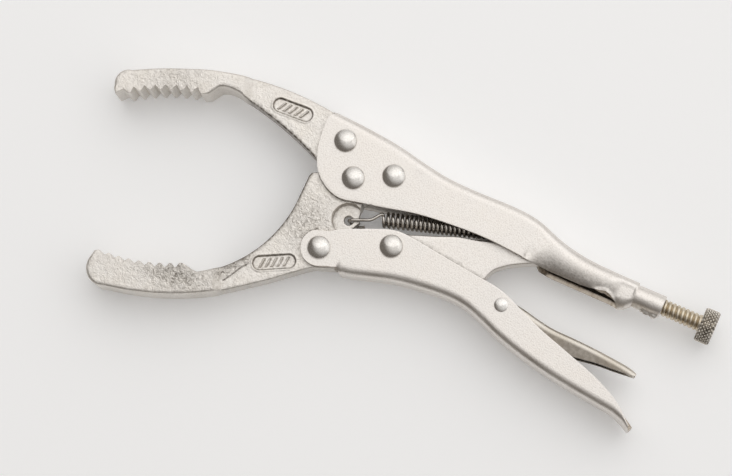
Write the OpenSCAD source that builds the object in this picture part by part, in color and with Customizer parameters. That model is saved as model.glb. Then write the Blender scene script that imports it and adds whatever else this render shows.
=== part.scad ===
// Locking oil filter wrench: two curved toothed jaws on a toggle-locked pair of channel handles.
// The tool lies on its side. +Z runs along the pivots, +X along the adjusting screw towards its
// knurled head, and +Y from the lower handle towards the upper handle. The drawing is laid out
// from the jaw pivot, then moved so that the origin is under the middle of the whole tool.

/* [Handles] */
// Outside width of both folded channel handles
handle_w = 13; // [12.4:0.2:15]
// Thickness of the handle sheet
sheet_t = 1.8; // [1.4:0.1:2]
// Outside radius of the rolled tube around the screw
tube_r = 4.6; // [4.4:0.1:5]
// Outside radius of the threaded end of the tube
collar_r = 3.9; // [3.7:0.1:4.3]

/* [Jaws] */
// Thickness of the jaw arms and of their tangs between the cheeks
jaw_t = 8.6; // [7:0.2:9]
// Thickness of the toothed pads
pad_t = 13.4; // [11:0.2:15]
// Number of teeth on each pad
tooth_count = 8; // [6:1:10]
// Depth of the grooves between the teeth
tooth_depth = 1.7; // [1:0.1:2]
// Depth of the oblong recess on each face of an arm
recess_depth = 0.8; // [0.4:0.1:1.2]

/* [Rivets] */
// Radius of the rivet shanks
rivet_r = 2.6; // [2.2:0.1:3]
// Radius of the domed rivet heads
rivet_head_r = 4; // [3.6:0.1:4.4]
// Height of the domed rivet heads
rivet_head_h = 2.2; // [1.6:0.1:2.6]
// Shank radius of the small rivet through the release lever
lever_rivet_r = 1.2; // [1:0.1:1.4]
// Head radius of the small rivet
lever_head_r = 2.4; // [2:0.1:2.8]

/* [Screw] */
// Outside radius of the screw thread
screw_r = 2.95; // [2.8:0.05:3]
// Length of bare thread between the tube and the head
thread_shown = 13.7; // [13:0.1:20]
// Radius of the knurled head
head_r = 6.1; // [5.5:0.1:7]
// Length of the knurled head
head_len = 5.3; // [4:0.1:8]

/* [Toggle] */
// Thickness of the link between the handles
link_t = 7.6; // [6:0.2:8]
// Outside width of the release lever
lever_w = 8; // [7:0.2:8.6]
// Thickness of the lever sheet
lever_t = 1.4; // [1:0.1:1.6]

/* [Spring] */
// Outside radius of the spring coil
coil_r = 2.9; // [2.6:0.1:3]
// Diameter of the spring wire
wire_d = 0.9; // [0.7:0.1:1]

/* [Hidden] */

// Pivots and rivets, measured from the jaw pivot
jaw_pivot = [0, 0];
front_rivet = [-7.8, 10.9];
rear_rivet = [12.6, 6.2];
handle_pivot = [-0.9, -26.9];
link_pivot = [21.8, -16.6];
lever_pivot = [64.4, -20.1];
link_end = [71.5, 1];
spring_eye = [4, -13.7];

// The screw lies along X at this height, and its tip stays clear of the link's end
screw_y = 2;
tip_gap = 2.6;
link_end_r = 3.8;
screw_tip_x = link_end[0] + link_end_r + tip_gap;
collar_x = 104.5;
tube_end_x = 114.8;
head_x = tube_end_x + thread_shown;

// Clearances: a running fit, a fixed fit, and the gap between sheet parts
run_gap = 0.05;
fixed_gap = 0.02;
boss_gap = 0.4;

inner_w = handle_w - 2 * sheet_t;
boss_r = 9;
through = 60;

// Outermost points of the tool, which place its origin
pad_tip = [-86.35, -0.5];
pad_tip_r = 5;
lower_tip = [-66.3, -63];
lower_tip_r = 6.5;
back_arc = [-31.1, -87];
back_arc_r = 106.8;
middle_x = (head_x + head_len + pad_tip[0] - pad_tip_r) / 2;
middle_y = (back_arc[1] + back_arc_r + lower_tip[1] - lower_tip_r) / 2;
half_height = handle_w / 2 + rivet_head_h;

// Points along an arc about c from angle a0 to a1
function arc(c, r, a0, a1, n = 12) =
    [for (i = [0:n]) let (a = a0 + (a1 - a0) * i / n) c + r * [cos(a), sin(a)]];

// One point of the curve that runs from b to c between its neighbours a and d
function curve_point(a, b, c, d, t) =
    b + 0.5 * t * (c - a + t * (2 * a - 5 * b + 4 * c - d + t * (3 * (b - c) + d - a)));

// A smooth curve through all the points of p
function smooth(p, n = 5) = let (last = len(p) - 1)
    [for (i = [0:last - 1]) for (k = [0:n - 1])
        curve_point(p[max(i - 1, 0)], p[i], p[i + 1], p[min(i + 2, last)], k / n), p[last]];

// Teeth along an arc: a short land, then a groove
function teeth(c, r, a0, a1) = let (step = (a1 - a0) / tooth_count)
    [for (i = [0:tooth_count - 1]) each [
        c + r * [cos(a0 + i * step), sin(a0 + i * step)],
        c + r * [cos(a0 + (i + 0.2) * step), sin(a0 + (i + 0.2) * step)],
        c + (r + tooth_depth) * [cos(a0 + (i + 0.6) * step), sin(a0 + (i + 0.6) * step)]]];

// Moves a curve sideways in X and Y
function moved(p, by) = [for (q = p) q + by];

// A flat plate of the given outline, centred on the middle plane
module plate(outline, thick) {
    translate([0, 0, -thick / 2])
        linear_extrude(thick)
            polygon(outline);
}

// A round hole or shank along Z
module post(at, r, len = through) {
    translate([at[0], at[1], -len / 2])
        cylinder(h = len, r = r, $fn = 48);
}

// A domed rivet head on one face
module dome(at, r, h, face_z) {
    ball_r = (r * r + h * h) / (2 * h);
    translate([at[0], at[1], face_z])
        intersection() {
            translate([0, 0, h - ball_r])
                sphere(r = ball_r, $fn = 64);
            cylinder(h = h, r = r, $fn = 64);
        }
}

// A rivet with a domed head on both cheeks
module rivet(at, shank_r, r, h) {
    post(at, shank_r, handle_w);
    dome(at, r, h, handle_w / 2);
    mirror([0, 0, 1])
        dome(at, r, h, handle_w / 2);
}

// A slot shape with round ends
module oblong(length, r, depth) {
    linear_extrude(depth) {
        square([length - 2 * r, 2 * r], center = true);
        for (side = [-1, 1])
            translate([side * (length / 2 - r), 0])
                circle(r = r, $fn = 40);
    }
}

// Recess on both faces of an arm, with a row of plain raised ribs left in its floor
module arm_recess(at, angle, length) {
    rim_r = 2.6;
    rib = [0.75, 3.4];
    rib_pitch = 2.1;
    rib_lean = 31;
    for (face = [0, 1])
        mirror([0, 0, face])
            translate([at[0], at[1], jaw_t / 2 - recess_depth])
                rotate(angle)
                    difference() {
                        oblong(length, rim_r, recess_depth + 1);
                        for (k = [-2:2])
                            translate([k * rib_pitch, 0, -1])
                                rotate(-rib_lean)
                                    translate([-rib[0] / 2, -rib[1] / 2, 0])
                                        cube([rib[0], rib[1], 1 + recess_depth / 2]);
                    }
}

// The arm with its thicker pad: the pad is the part of the outline inside the zone
module jaw_blank(outline, zone) {
    plate(outline, jaw_t);
    intersection() {
        plate(outline, pad_t);
        plate(zone, pad_t);
    }
}

/* ---- Upper handle ---- */

// The rear of the sheet is rolled round, and stays open along the near side of its underside
roll_r = 5.4;
roll_y = 1.3;
roll_end_x = 98;
roll_step = 0.15;
slot_top = -2.5;
far_lip_z = 0.5;

top_edge = smooth([[-14.8, 19.2], [-2, 18.4], [10, 17], [20, 15], [30, 13.4], [41, 13],
    [52, 13.2], [60, 12.9], [66, 11.8], [72, 9.5], [78, 7.6], [86, roll_y + roll_r - roll_step]]);
cheek_front = smooth([[-16.9, 16], [-16.6, 10.5], [-15.6, 4.5], [-13.2, -1.2], [-10, -4.8],
    [-5.6, -7.4], [-1, -8.3], [4, -7.3], [14, -5.2], [26, -2.6], [40, -1.3], [52, -1],
    [64, -1.9], [72, -2.6], [80, -3], [86, -3.2]]);
upper_plan = smooth([[62, handle_w / 2], [70, 6.35], [78, 5.9], [86, roll_r - roll_step]]);

function mirrored_y(p) = [for (i = [len(p) - 1:-1:0]) [p[i][0], -p[i][1]]];

// The handle seen from above: full width at the front, drawn in to the tube at the rear
module plan_block(narrower) {
    half = upper_plan;
    edge = [for (q = concat([[-40, handle_w / 2]], half)) [q[0], q[1] - narrower]];
    translate([0, 50, 0])
        rotate([90, 0, 0])
            linear_extrude(100)
                polygon(concat(edge, mirrored_y(edge)));
}

module upper_handle_shell() {
    side = concat(top_edge, [for (i = [len(cheek_front) - 1:-1:0]) cheek_front[i]],
        arc([-14.8, 17.1], 2.1, 170, 100, 4));
    web_front_x = -15.4;
    hollow = concat(moved(top_edge, [0, -sheet_t]),
        [[90, -40], [-40, -40], [-40, 40], [web_front_x, 40], [web_front_x, 17.4]]);
    difference() {
        intersection() {
            plate(side, handle_w);
            plan_block(0);
        }
        intersection() {
            plate(hollow, inner_w);
            plan_block(sheet_t);
        }
    }
}

// The rolled stretch, the pinched stretch that closes it, and the threaded end
module screw_tube() {
    wall = 1.5;
    roll_start_x = 84;
    pinched_x = 97;
    rotate([0, 90, 0])
        difference() {
            translate([0, roll_y, roll_start_x])
                cylinder(h = roll_end_x - roll_start_x, r = roll_r, $fn = 64);
            translate([0, roll_y, roll_start_x - 1])
                cylinder(h = pinched_x - roll_start_x, r = roll_r - wall, $fn = 64);
        }
    translate([0, screw_y, 0])
        rotate([0, 90, 0]) {
            translate([0, 0, pinched_x - 0.5])
                cylinder(h = collar_x - pinched_x + 0.5, r = tube_r, $fn = 64);
            translate([0, 0, collar_x - 1])
                cylinder(h = tube_end_x - collar_x + 1, r = collar_r, $fn = 64);
        }
    // The seam: the edges pressed together below the screw, and the burr under the threaded end
    plate([[98.5, 0], [98.5, -4.5], [101, -4.8], [103, -4.2], [104.9, -2.4], [104.9, 0]], 2.4);
    plate([[106.5, 0], [106.5, -2.1], [111, -2.9], [113.5, -3.2], [114.6, -1.7], [114.6, 0]], 2);
}

// A tab folded down inside the channel, with the hole that holds the spring
tab_x = 52;
tab_hole = [54.2, 3.6];
module spring_tab() {
    difference() {
        translate([tab_x, 1.6, -sheet_t / 2])
            cube([4.6, 10.4, sheet_t]);
        post(tab_hole, 1.2);
    }
}

// The far edge of the sheet, wrapped under the screw ahead of the rolled stretch
module far_lip() {
    lip_x = [76.2, 86];
    lip_t = 1.6;
    translate([lip_x[0], roll_y - roll_r + 0.05, -roll_r + 0.3])
        cube([lip_x[1] - lip_x[0], lip_t, roll_r - 0.3 + far_lip_z]);
}

module upper_handle() {
    slot_x = [83, 97];
    far_reach = 20;
    color("silver") place() {
        difference() {
            union() {
                upper_handle_shell();
                screw_tube();
                far_lip();
            }
            translate([slot_x[0], slot_top - far_reach, far_lip_z])
                cube([slot_x[1] - slot_x[0], far_reach, far_reach]);
            translate([80, screw_y, 0])
                rotate([0, 90, 0])
                    cylinder(h = 50, r = screw_r + run_gap, $fn = 64);
            for (at = [front_rivet, rear_rivet, jaw_pivot])
                post(at, rivet_r + fixed_gap);
        }
        spring_tab();
    }
}

/* ---- Fixed jaw ---- */

fixed_tooth_c = [-48.3, -57.2];
moving_tooth_c = [-71.9, 6.8];
tooth_arc_r = 64.7;

module fixed_jaw() {
    grip = teeth(fixed_tooth_c, tooth_arc_r, 101, 127);
    outline = concat(
        arc(back_arc, back_arc_r, 82, 108.8, 16),
        smooth([[-66.9, 13.5], [-72, 11.5], [-78, 9], [-83.5, 6.3]], 4),
        arc(pad_tip, pad_tip_r, 98, 205, 10),
        [[-90.2, -4.4], [-89, -5.7]],
        [for (i = [len(grip) - 1:-1:0]) grip[i]],
        smooth([[-58.7, 7.2], [-57.4, 9.2], [-56, 11], [-53, 11.9], [-49.4, 11.8]], 4),
        arc([-70, -120.3], 133.5, 80.4, 65.8, 12),
        [[-14.6, 0.9]],
        arc(jaw_pivot, boss_r + boss_gap, 174, 8, 20),
        arc(rear_rivet, 6.5, -65, 58, 12),
        [[8, 14.6], [-2, 16.1], [-15.7, 17], [-15.7, 19]]);
    pad_zone = [[-52.5, 30], [-38.3, -10], [-120, -40], [-120, 40]];
    color("gainsboro") place()
        difference() {
            jaw_blank(outline, pad_zone);
            arm_recess([-29.6, 14], 2.5, 14.8);
            for (at = [front_rivet, rear_rivet])
                post(at, rivet_r + fixed_gap);
        }
}

/* ---- Moving jaw ---- */

module moving_jaw() {
    pocket_r = 5.7;
    eye_tab_t = 3.2;
    outline = concat(
        [[-13.3, -3.1], [-14.3, -3.7], [-14.8, -5]],
        arc([-59.3, -13.4], 44.4, 0, -58.8, 20),
        [[-38.2, -51.3], [-41, -50.8]],
        teeth(moving_tooth_c, tooth_arc_r, -62.8, -88.4),
        [[-70.5, -58], [-72.1, -58.8]],
        arc(lower_tip, lower_tip_r, 171, 272, 12),
        arc([-80.8, 29.9], 100.2, -80, -55.5, 16),
        smooth([[-12.7, -44.1], [-1.6, -34.9], [2, -33.1], [6.6, -31.4]], 4),
        smooth([[7.8, -28.8], [8, -25], [7, -20], [6.2, -16.6]], 3),
        [[7.9, -12.9], [6.9, -11.3]],
        arc(jaw_pivot, boss_r, -45, 185, 24));
    pad_zone = [[-33.1, -40], [-21.3, -70], [-21.3, -80], [-120, -80], [-120, -40]];
    color("gainsboro") place()
        difference() {
            jaw_blank(outline, pad_zone);
            arm_recess([-13.4, -37.5], 27, 15.2);
            for (face = [0, 1])
                mirror([0, 0, face])
                    translate([spring_eye[0], spring_eye[1], eye_tab_t / 2])
                        cylinder(h = jaw_t, r = pocket_r, $fn = 64);
            post(spring_eye, 1.6);
            post(jaw_pivot, rivet_r + run_gap);
            post(handle_pivot, rivet_r + run_gap);
        }
}

/* ---- Lower handle ---- */

web_line = smooth([[8.9, -32.2], [12.5, -31.6], [19, -29.7], [27, -27.4], [36, -26], [46, -25.2],
    [53, -25.8], [60, -28], [68, -31], [80, -34.2], [93, -36.6], [106, -38.2], [114, -39.3],
    [120.5, -42.2]]);
lower_edge = smooth([[0.2, -20.3], [3.3, -18.2], [9.5, -15.3], [15.9, -12.6], [20, -11.2],
    [24, -10.8], [30.4, -11.4], [42, -12.9], [54, -14.3], [60, -15], [65, -16.3], [71, -18.8],
    [80, -22.4], [92, -26.2], [104, -30.2], [113, -34.6], [119.6, -40.3]]);

module lower_handle() {
    side = concat(lower_edge, [for (i = [len(web_line) - 1:-1:0]) web_line[i]],
        [[7.4, -30.6], [4.5, -31.6]], arc(handle_pivot, 6.4, 295, 130, 20));
    hollow = concat([[-20, 0], [-20, -36], [8.7, -36], [8.9, -32.2 + sheet_t]],
        moved(web_line, [0, sheet_t]), [[140, -42.2 + sheet_t], [140, 0]]);
    color("silver") place()
        difference() {
            plate(side, handle_w);
            plate(hollow, inner_w);
            for (at = [handle_pivot, link_pivot])
                post(at, rivet_r + fixed_gap);
            post(lever_pivot, lever_rivet_r + fixed_gap);
        }
}

/* ---- Toggle link and release lever ---- */

module toggle_link() {
    boss = 5.6;
    washer_step = 0.4;
    outline = concat(
        arc(link_pivot, boss, 292, 118, 16),
        smooth([[26, -9.9], [34.6, -6.6], [41, -4], [49, -2], [57, 0.8], [65, 3.6], [69.6, 4.5]], 4),
        arc(link_end, link_end_r, 100, -95, 14),
        smooth([[67.6, -3.1], [63, -5.2], [59.5, -7.6], [57.2, -9.8], [55.9, -12.4],
            [55.2, -15]], 4),
        [[54.3, -17]],
        smooth([[51.5, -18], [45, -19.2], [36, -20.9], [28, -21.8]], 4));
    color("silver") place()
        difference() {
            union() {
                plate(outline, link_t);
                post(link_pivot, boss - washer_step, inner_w - 0.6);
            }
            post(link_pivot, rivet_r + run_gap);
        }
}

module release_lever() {
    back = smooth([[51, -20.6], [55, -19.2], [60, -17.6], [66, -17.2], [72, -17.9], [78, -19.2],
        [84, -20.1], [92, -20.3], [100, -20.7], [108, -21.4], [112.8, -22], [115.6, -23]], 4);
    belly = smooth([[115.4, -24], [108, -24.7], [102, -25.1], [94, -26.3], [86, -27.5],
        [78, -27.3], [70, -25.6], [62, -23.9], [56, -22.8], [51, -22.4]], 4);
    color("darkgray") place()
        difference() {
            plate(concat(back, belly), lever_w);
            plate(concat(moved(back, [0, -lever_t]), [[115.6, -40], [51, -40]]),
                lever_w - 2 * lever_t);
            post(lever_pivot, lever_rivet_r + run_gap);
        }
}

/* ---- Rivets ---- */

module fixed_jaw_front_rivet() {
    color("lightgray") place()
        rivet(front_rivet, rivet_r, rivet_head_r, rivet_head_h);
}

module fixed_jaw_rear_rivet() {
    color("lightgray") place()
        rivet(rear_rivet, rivet_r, rivet_head_r, rivet_head_h);
}

module jaw_pivot_rivet() {
    color("lightgray") place()
        rivet(jaw_pivot, rivet_r, rivet_head_r, rivet_head_h);
}

module handle_pivot_rivet() {
    color("lightgray") place()
        rivet(handle_pivot, rivet_r, rivet_head_r, rivet_head_h);
}

module link_rivet() {
    color("lightgray") place()
        rivet(link_pivot, rivet_r, rivet_head_r, rivet_head_h);
}

module release_lever_rivet() {
    color("lightgray") place()
        rivet(lever_pivot, lever_rivet_r, lever_head_r, 0.9);
}

/* ---- Adjusting screw ---- */

module screw_shank() {
    nose = 0.8;
    color("tan") place()
        translate([screw_tip_x, screw_y, 0])
            rotate([0, 90, 0]) {
                cylinder(h = nose, r1 = screw_r - nose, r2 = screw_r, $fn = 64);
                translate([0, 0, nose])
                    cylinder(h = head_x - screw_tip_x - nose, r = screw_r, $fn = 64);
            }
}

module screw_head() {
    edge = 0.5;
    color("tan") place()
        translate([head_x, screw_y, 0])
            rotate([0, 90, 0])
                rotate_extrude($fn = 96)
                    polygon([[0, 0], [head_r - edge, 0], [head_r, edge],
                        [head_r, head_len - edge], [head_r - edge, head_len], [0, head_len]]);
}

/* ---- Spring ---- */

spring_angle = 16.8;
coil_start = [13.8, -8.7];
coil_len = 37.4;

// A straight stretch of wire between two points
module wire(a, b) {
    hull()
        for (at = [a, b])
            translate(at)
                sphere(r = wire_d / 2, $fn = 12);
}

module tension_spring() {
    front_hook = [[4.3, -13.4, -2.4], [4.3, -13.4, 2.2], [11.3, -10.6, 2.2], [15.4, -6.3, 1.4]];
    rear_hook = [[47, 3.4, 1.4], [54.3, 3.7, 1.6], [54.3, 3.7, -1.6]];
    color("dimgray") place() {
        translate([coil_start[0], coil_start[1], 0])
            rotate([0, 90, spring_angle])
                difference() {
                    cylinder(h = coil_len, r = coil_r, $fn = 48);
                    translate([0, 0, -1])
                        cylinder(h = coil_len + 2, r = coil_r - wire_d, $fn = 48);
                }
        for (hook = [front_hook, rear_hook])
            for (k = [1:len(hook) - 1])
                wire(hook[k - 1], hook[k]);
    }
}

// Moves a sub-part from the jaw pivot's place to the tool's own origin
module place() {
    translate([-middle_x, -middle_y, half_height])
        children();
}

upper_handle();
fixed_jaw();
fixed_jaw_front_rivet();
fixed_jaw_rear_rivet();
jaw_pivot_rivet();
moving_jaw();
lower_handle();
handle_pivot_rivet();
link_rivet();
toggle_link();
release_lever();
release_lever_rivet();
screw_shank();
screw_head();
tension_spring();
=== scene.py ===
import math

import bmesh
import bpy
import numpy as np
from mathutils import Matrix, Vector, noise
from mathutils.geometry import delaunay_2d_cdt


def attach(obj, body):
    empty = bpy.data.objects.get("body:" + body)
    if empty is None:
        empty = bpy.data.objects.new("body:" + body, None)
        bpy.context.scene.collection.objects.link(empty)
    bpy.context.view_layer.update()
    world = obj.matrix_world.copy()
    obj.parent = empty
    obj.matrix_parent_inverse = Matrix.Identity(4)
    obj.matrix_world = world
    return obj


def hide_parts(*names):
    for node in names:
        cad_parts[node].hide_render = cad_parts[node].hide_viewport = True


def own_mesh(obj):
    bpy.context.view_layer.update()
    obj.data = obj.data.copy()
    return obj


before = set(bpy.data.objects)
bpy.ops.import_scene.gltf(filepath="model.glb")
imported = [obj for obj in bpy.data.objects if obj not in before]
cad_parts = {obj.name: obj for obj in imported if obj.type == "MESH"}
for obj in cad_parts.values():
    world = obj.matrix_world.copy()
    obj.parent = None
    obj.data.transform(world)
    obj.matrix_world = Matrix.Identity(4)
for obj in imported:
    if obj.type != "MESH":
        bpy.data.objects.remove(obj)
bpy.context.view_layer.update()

# ---------------------------------------------------------------- the drawing
# Outlines are in millimetres from the jaw pivot, with the screw along X, as the
# CAD source lays them out. PLACE moves them to the row frame.
PLACE = np.array([-21.225, 24.85, 8.7])
MM = 0.001

JAW_PIVOT = np.array([0.0, 0.0])
FRONT_RIVET = np.array([-7.8, 10.9])
REAR_RIVET = np.array([12.6, 6.2])
HANDLE_PIVOT = np.array([-0.9, -26.9])
LINK_PIVOT = np.array([21.8, -16.6])
LEVER_PIVOT = np.array([64.4, -20.1])
SPRING_EYE = np.array([4.0, -13.7])
TAB_HOLE = np.array([54.2, 3.6])
SCREW_Y = 2.0
# Half of the handles' width, their outer bend radius and the thickness of each sheet
HALF_W, BEND_R = 6.5, 3.0
UPPER_SHEET, LOWER_SHEET, LEVER_SHEET = 1.6, 1.8, 1.2
# A rivet's shank, and its clearance where it's pressed in and where it turns
RIVET_R, SNUG, SLIP = 2.6, 0.03, 0.05
# Points nearer than WELD are one point. TINY keeps divisions off zero. CHUNK bounds memory.
WELD, TINY, CHUNK = 1e-4, 1e-12, 2000


def arc(c, r, a0, a1, n=12):
    """Points on an arc about c, from a0 to a1 in degrees."""
    t = np.radians(np.linspace(a0, a1, n + 1))
    return np.column_stack([c[0] + r * np.cos(t), c[1] + r * np.sin(t)])


def smooth(p, n=5):
    """A smooth curve through all the points of p, with n steps between two of them."""
    p = np.asarray(p, float)
    last = len(p) - 1
    out = []
    for i in range(last):
        a, b = p[max(i - 1, 0)], p[i]
        c, d = p[i + 1], p[min(i + 2, last)]
        for k in range(n):
            t = k / n
            bend = 2 * a - 5 * b + 4 * c - d + t * (3 * (b - c) + d - a)
            out.append(b + 0.5 * t * (c - a + t * bend))
    out.append(p[last])
    return np.array(out)


def join(*parts):
    """One outline from lines and single points in order."""
    return np.vstack([np.asarray(p, float).reshape(-1, 2) for p in parts])


def step01(x, lo, hi):
    """A smooth step from 0 at lo to 1 at hi."""
    t = np.clip((np.asarray(x, float) - lo) / (hi - lo), 0, 1)
    return t * t * (3 - 2 * t)


def hump(x, a, b, c, d):
    """0 up to a, 1 from b to c and 0 again from d on, with smooth steps between."""
    return step01(x, a, b) * (1 - step01(x, c, d))


def unit(w):
    """A vector, or each row of many, at length one."""
    return w / (np.linalg.norm(w, axis=-1, keepdims=True) + TINY)


def along(line, n=None, at=None):
    """Points of an open line at equal steps, or at given shares of its length."""
    line = np.asarray(line, float)
    run = np.r_[0, np.cumsum(np.linalg.norm(np.diff(line, axis=0), axis=1))]
    at = np.linspace(0, 1, n) if at is None else np.asarray(at)
    return np.column_stack([np.interp(at * run[-1], run, line[:, k]) for k in (0, 1)])


def upright(line, lo, hi, count):
    """Points of a line at equal steps along X."""
    x = np.linspace(lo, hi, count)
    return np.column_stack([x, np.interp(x, line[:, 0], line[:, 1])])


# ---------------------------------------------------------------- mesh helpers


def add_object(name, data):
    """Puts a mesh, light or camera into the scene."""
    obj = bpy.data.objects.new(name, data)
    bpy.context.scene.collection.objects.link(obj)
    return obj


def piece(name, shape, body, nodes, material, sharp=38, marks=None):
    """Makes a piece from millimetre points and faces, and puts it on its body. marks gives,
    for each named surface mark, a function from points to how strong the mark is there."""
    verts, faces = shape
    mesh = bpy.data.meshes.new(name)
    co = (np.asarray(verts, float) + PLACE) * MM
    mesh.from_pydata(co.tolist(), [], [list(map(int, f)) for f in faces])
    bm = bmesh.new()
    bm.from_mesh(mesh)
    bmesh.ops.remove_doubles(bm, verts=bm.verts, dist=WELD * MM)
    bmesh.ops.dissolve_degenerate(bm, dist=WELD * MM, edges=bm.edges)
    bmesh.ops.recalc_face_normals(bm, faces=bm.faces)
    for f in bm.faces:
        f.smooth = True
    for e in bm.edges:
        if len(e.link_faces) == 2 and e.calc_face_angle(0) > math.radians(sharp):
            e.smooth = False
    bm.to_mesh(mesh)
    bm.free()
    spots = np.array([tuple(v.co) for v in mesh.vertices]) / MM - PLACE
    for mark, strength in (marks or {}).items():
        layer = mesh.attributes.new(mark, "FLOAT", "POINT")
        layer.data.foreach_set("value", np.clip(strength(spots), 0, 1).astype(np.float32))
    obj = add_object(name, mesh)
    mesh.materials.append(material)
    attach(obj, body)
    if nodes:
        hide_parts(*nodes)
    return obj


def away(points, at):
    """Distance from each point to one place."""
    return np.hypot(*(points - at).T)


def edge_distance(points, loops):
    """Distance from each point to the nearest stretch of the closed loops."""
    a = np.vstack([np.asarray(l, float) for l in loops])
    b = np.vstack([np.roll(np.asarray(l, float), -1, 0) for l in loops])
    ab = b - a
    ab2 = (ab**2).sum(1) + TINY
    out = np.empty(len(points))
    for s in range(0, len(points), CHUNK):
        p = points[s : s + CHUNK, None, :] - a[None]
        t = np.clip((p * ab[None]).sum(2) / ab2, 0, 1)
        out[s : s + CHUNK] = np.sqrt(((p - t[..., None] * ab) ** 2).sum(2)).min(1)
    return out


def inside(points, loop):
    """Which points lie inside a closed loop."""
    a = np.asarray(loop, float)
    b = np.roll(a, -1, 0)
    out = np.zeros(len(points), bool)
    for s in range(0, len(points), CHUNK):
        p = points[s : s + CHUNK]
        y = p[:, 1][:, None]
        cross = (a[None, :, 1] > y) != (b[None, :, 1] > y)
        with np.errstate(divide="ignore", invalid="ignore"):
            x = a[:, 0] + (y - a[:, 1]) / (b[:, 1] - a[:, 1]) * (b[:, 0] - a[:, 0])
        out[s : s + CHUNK] = ((p[:, 0][:, None] < x) & cross).sum(1) % 2 == 1
    return out


def refine(loop, step):
    """A closed loop with no edge longer than step."""
    loop = np.asarray(loop, float)
    out = []
    for p, q in zip(loop, np.roll(loop, -1, 0)):
        n = max(1, int(math.ceil(np.linalg.norm(q - p) / step)))
        out += [p + (q - p) * k / n for k in range(n)]
    return np.array(out)


def circle(c, r, n=40):
    """A closed loop of n points."""
    return arc(c, r, 0, 360 * (n - 1) / n, n - 1)


# Rows beside a rim, as shares of its radius, and ways across an outer corner
RIM_ROWS, CORNER_WAYS = (0.04, 0.15, 0.33, 0.6, 1.0), (0.0, 0.25, 0.75, 1.0)
# The sine of a turn that makes a corner, and the least that a mitre is divided by
CORNER_TURN, MITRE_MIN = -0.25, 0.4
# How far the extra points stay from the rims, and the field from the extra points
EXTRA_RIM_GAP, EXTRA_GAP = 0.12, 0.4


def forging(outline, holes, height, edge_r, grid=0.9, step=0.8, extra=()):
    """A plate with rounded edges: its half thickness is height(points), and edge_r(points)
    rounds its rim. extra gives more points to mesh with. Returns points and faces."""
    following = np.roll(outline, -1, 0)
    area = np.sum(outline[:, 0] * following[:, 1] - following[:, 0] * outline[:, 1])
    if area < 0:
        outline = outline[::-1]
    loops = [refine(outline, step)] + [np.asarray(h)[::-1] for h in holes]
    # rows of points beside the rims, where the rounding bends most
    rings = []
    for loop in loops:
        before = loop - np.roll(loop, 1, 0)
        after = np.roll(loop, -1, 0) - loop
        n0 = unit(np.column_stack([-before[:, 1], before[:, 0]]))
        n1 = unit(np.column_stack([-after[:, 1], after[:, 0]]))
        turn = n0[:, 0] * n1[:, 1] - n0[:, 1] * n1[:, 0]
        rad = edge_r(loop)
        corner = turn < CORNER_TURN
        for share in RIM_ROWS:
            d = (rad * share)[:, None]
            n = unit(n0 + n1)
            mitre = np.maximum((n * n0).sum(1), MITRE_MIN)[:, None]
            rings.append((loop + n * d / mitre, d[:, 0]))
            for w in CORNER_WAYS:
                m = unit(n0 * (1 - w) + n1 * w)
                rings.append(((loop + m * d)[corner], d[corner, 0]))
    ring = np.vstack([r[0] for r in rings])
    want = np.concatenate([r[1] for r in rings])
    got = edge_distance(ring, loops)
    ring = ring[np.abs(got - want) < 0.25 * want + 0.01]
    # a triangular field between the rims
    lo, hi = outline.min(0), outline.max(0)
    gx, gy = np.meshgrid(np.arange(lo[0], hi[0], grid), np.arange(lo[1], hi[1], grid * 0.87))
    gx[1::2] += grid / 2
    field = np.column_stack([gx.ravel(), gy.ravel()])
    field = field[inside(field, loops[0])]
    field = field[edge_distance(field, loops) > edge_r(field) + 0.35 * grid]
    if len(extra):
        extra = np.vstack(extra)
        extra = extra[inside(extra, loops[0])]
        extra = extra[edge_distance(extra, loops) > EXTRA_RIM_GAP]
        gap = np.full(len(field), 1e9)
        for spot in extra:
            gap = np.minimum(gap, away(field, spot))
        field = np.vstack([field[gap > EXTRA_GAP], extra])
    points = np.vstack(loops + [ring, field])
    on_rim = np.arange(len(points)) < sum(map(len, loops))
    keep = inside(points, loops[0])
    for h in loops[1:]:
        keep &= ~inside(points, h)
    points = points[keep | on_rim]
    edges, start = [], 0
    for loop in loops:
        n = len(loop)
        edges += [(start + k, start + (k + 1) % n) for k in range(n)]
        start += n
    out_v, _, out_f, source, _, _ = delaunay_2d_cdt(
        [Vector(p) for p in points], edges, [], 0, WELD, True
    )
    flat = np.array([tuple(v) for v in out_v])
    tri = np.array([f for f in out_f if len(f) == 3])
    mid = flat[tri].mean(1)
    ok = inside(mid, loops[0])
    for h in loops[1:]:
        ok &= ~inside(mid, h)
    tri = tri[ok]
    where = {}
    for new, olds in enumerate(source):
        for o in olds:
            where[o] = new
    dist = edge_distance(flat, loops)
    r = edge_r(flat)
    inset = np.clip(r - dist, 0, r)
    top = height(flat) - r + np.sqrt(np.maximum(r * r - inset * inset, 0))
    n = len(flat)
    verts = np.vstack([np.column_stack([flat, top]), np.column_stack([flat, -top])])
    faces = [tuple(t) for t in tri] + [(t[2] + n, t[1] + n, t[0] + n) for t in tri]
    for a, b in edges:
        a, b = where[a], where[b]
        if a != b:
            faces.append((a, b, b + n, a + n))
    return verts, faces


def loft(sections, keep_cell=None, close=False, caps=False):
    """A sheet over sections of equal point counts; keep_cell(i, j) can leave cells out, close
    joins each section's ends, and caps fills the first and the last section."""
    verts = np.vstack(sections)
    rows, cols = len(sections), len(sections[0])
    faces = []
    for i in range(rows - 1):
        for j in range(cols if close else cols - 1):
            if keep_cell is None or keep_cell(i, j):
                k = (j + 1) % cols
                near, far = i * cols, (i + 1) * cols
                faces.append((near + j, near + k, far + k, far + j))
    if caps:
        last = len(verts) - cols
        faces.append(tuple(range(cols))[::-1])
        faces.append(tuple(range(last, last + cols)))
    return verts, faces


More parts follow.
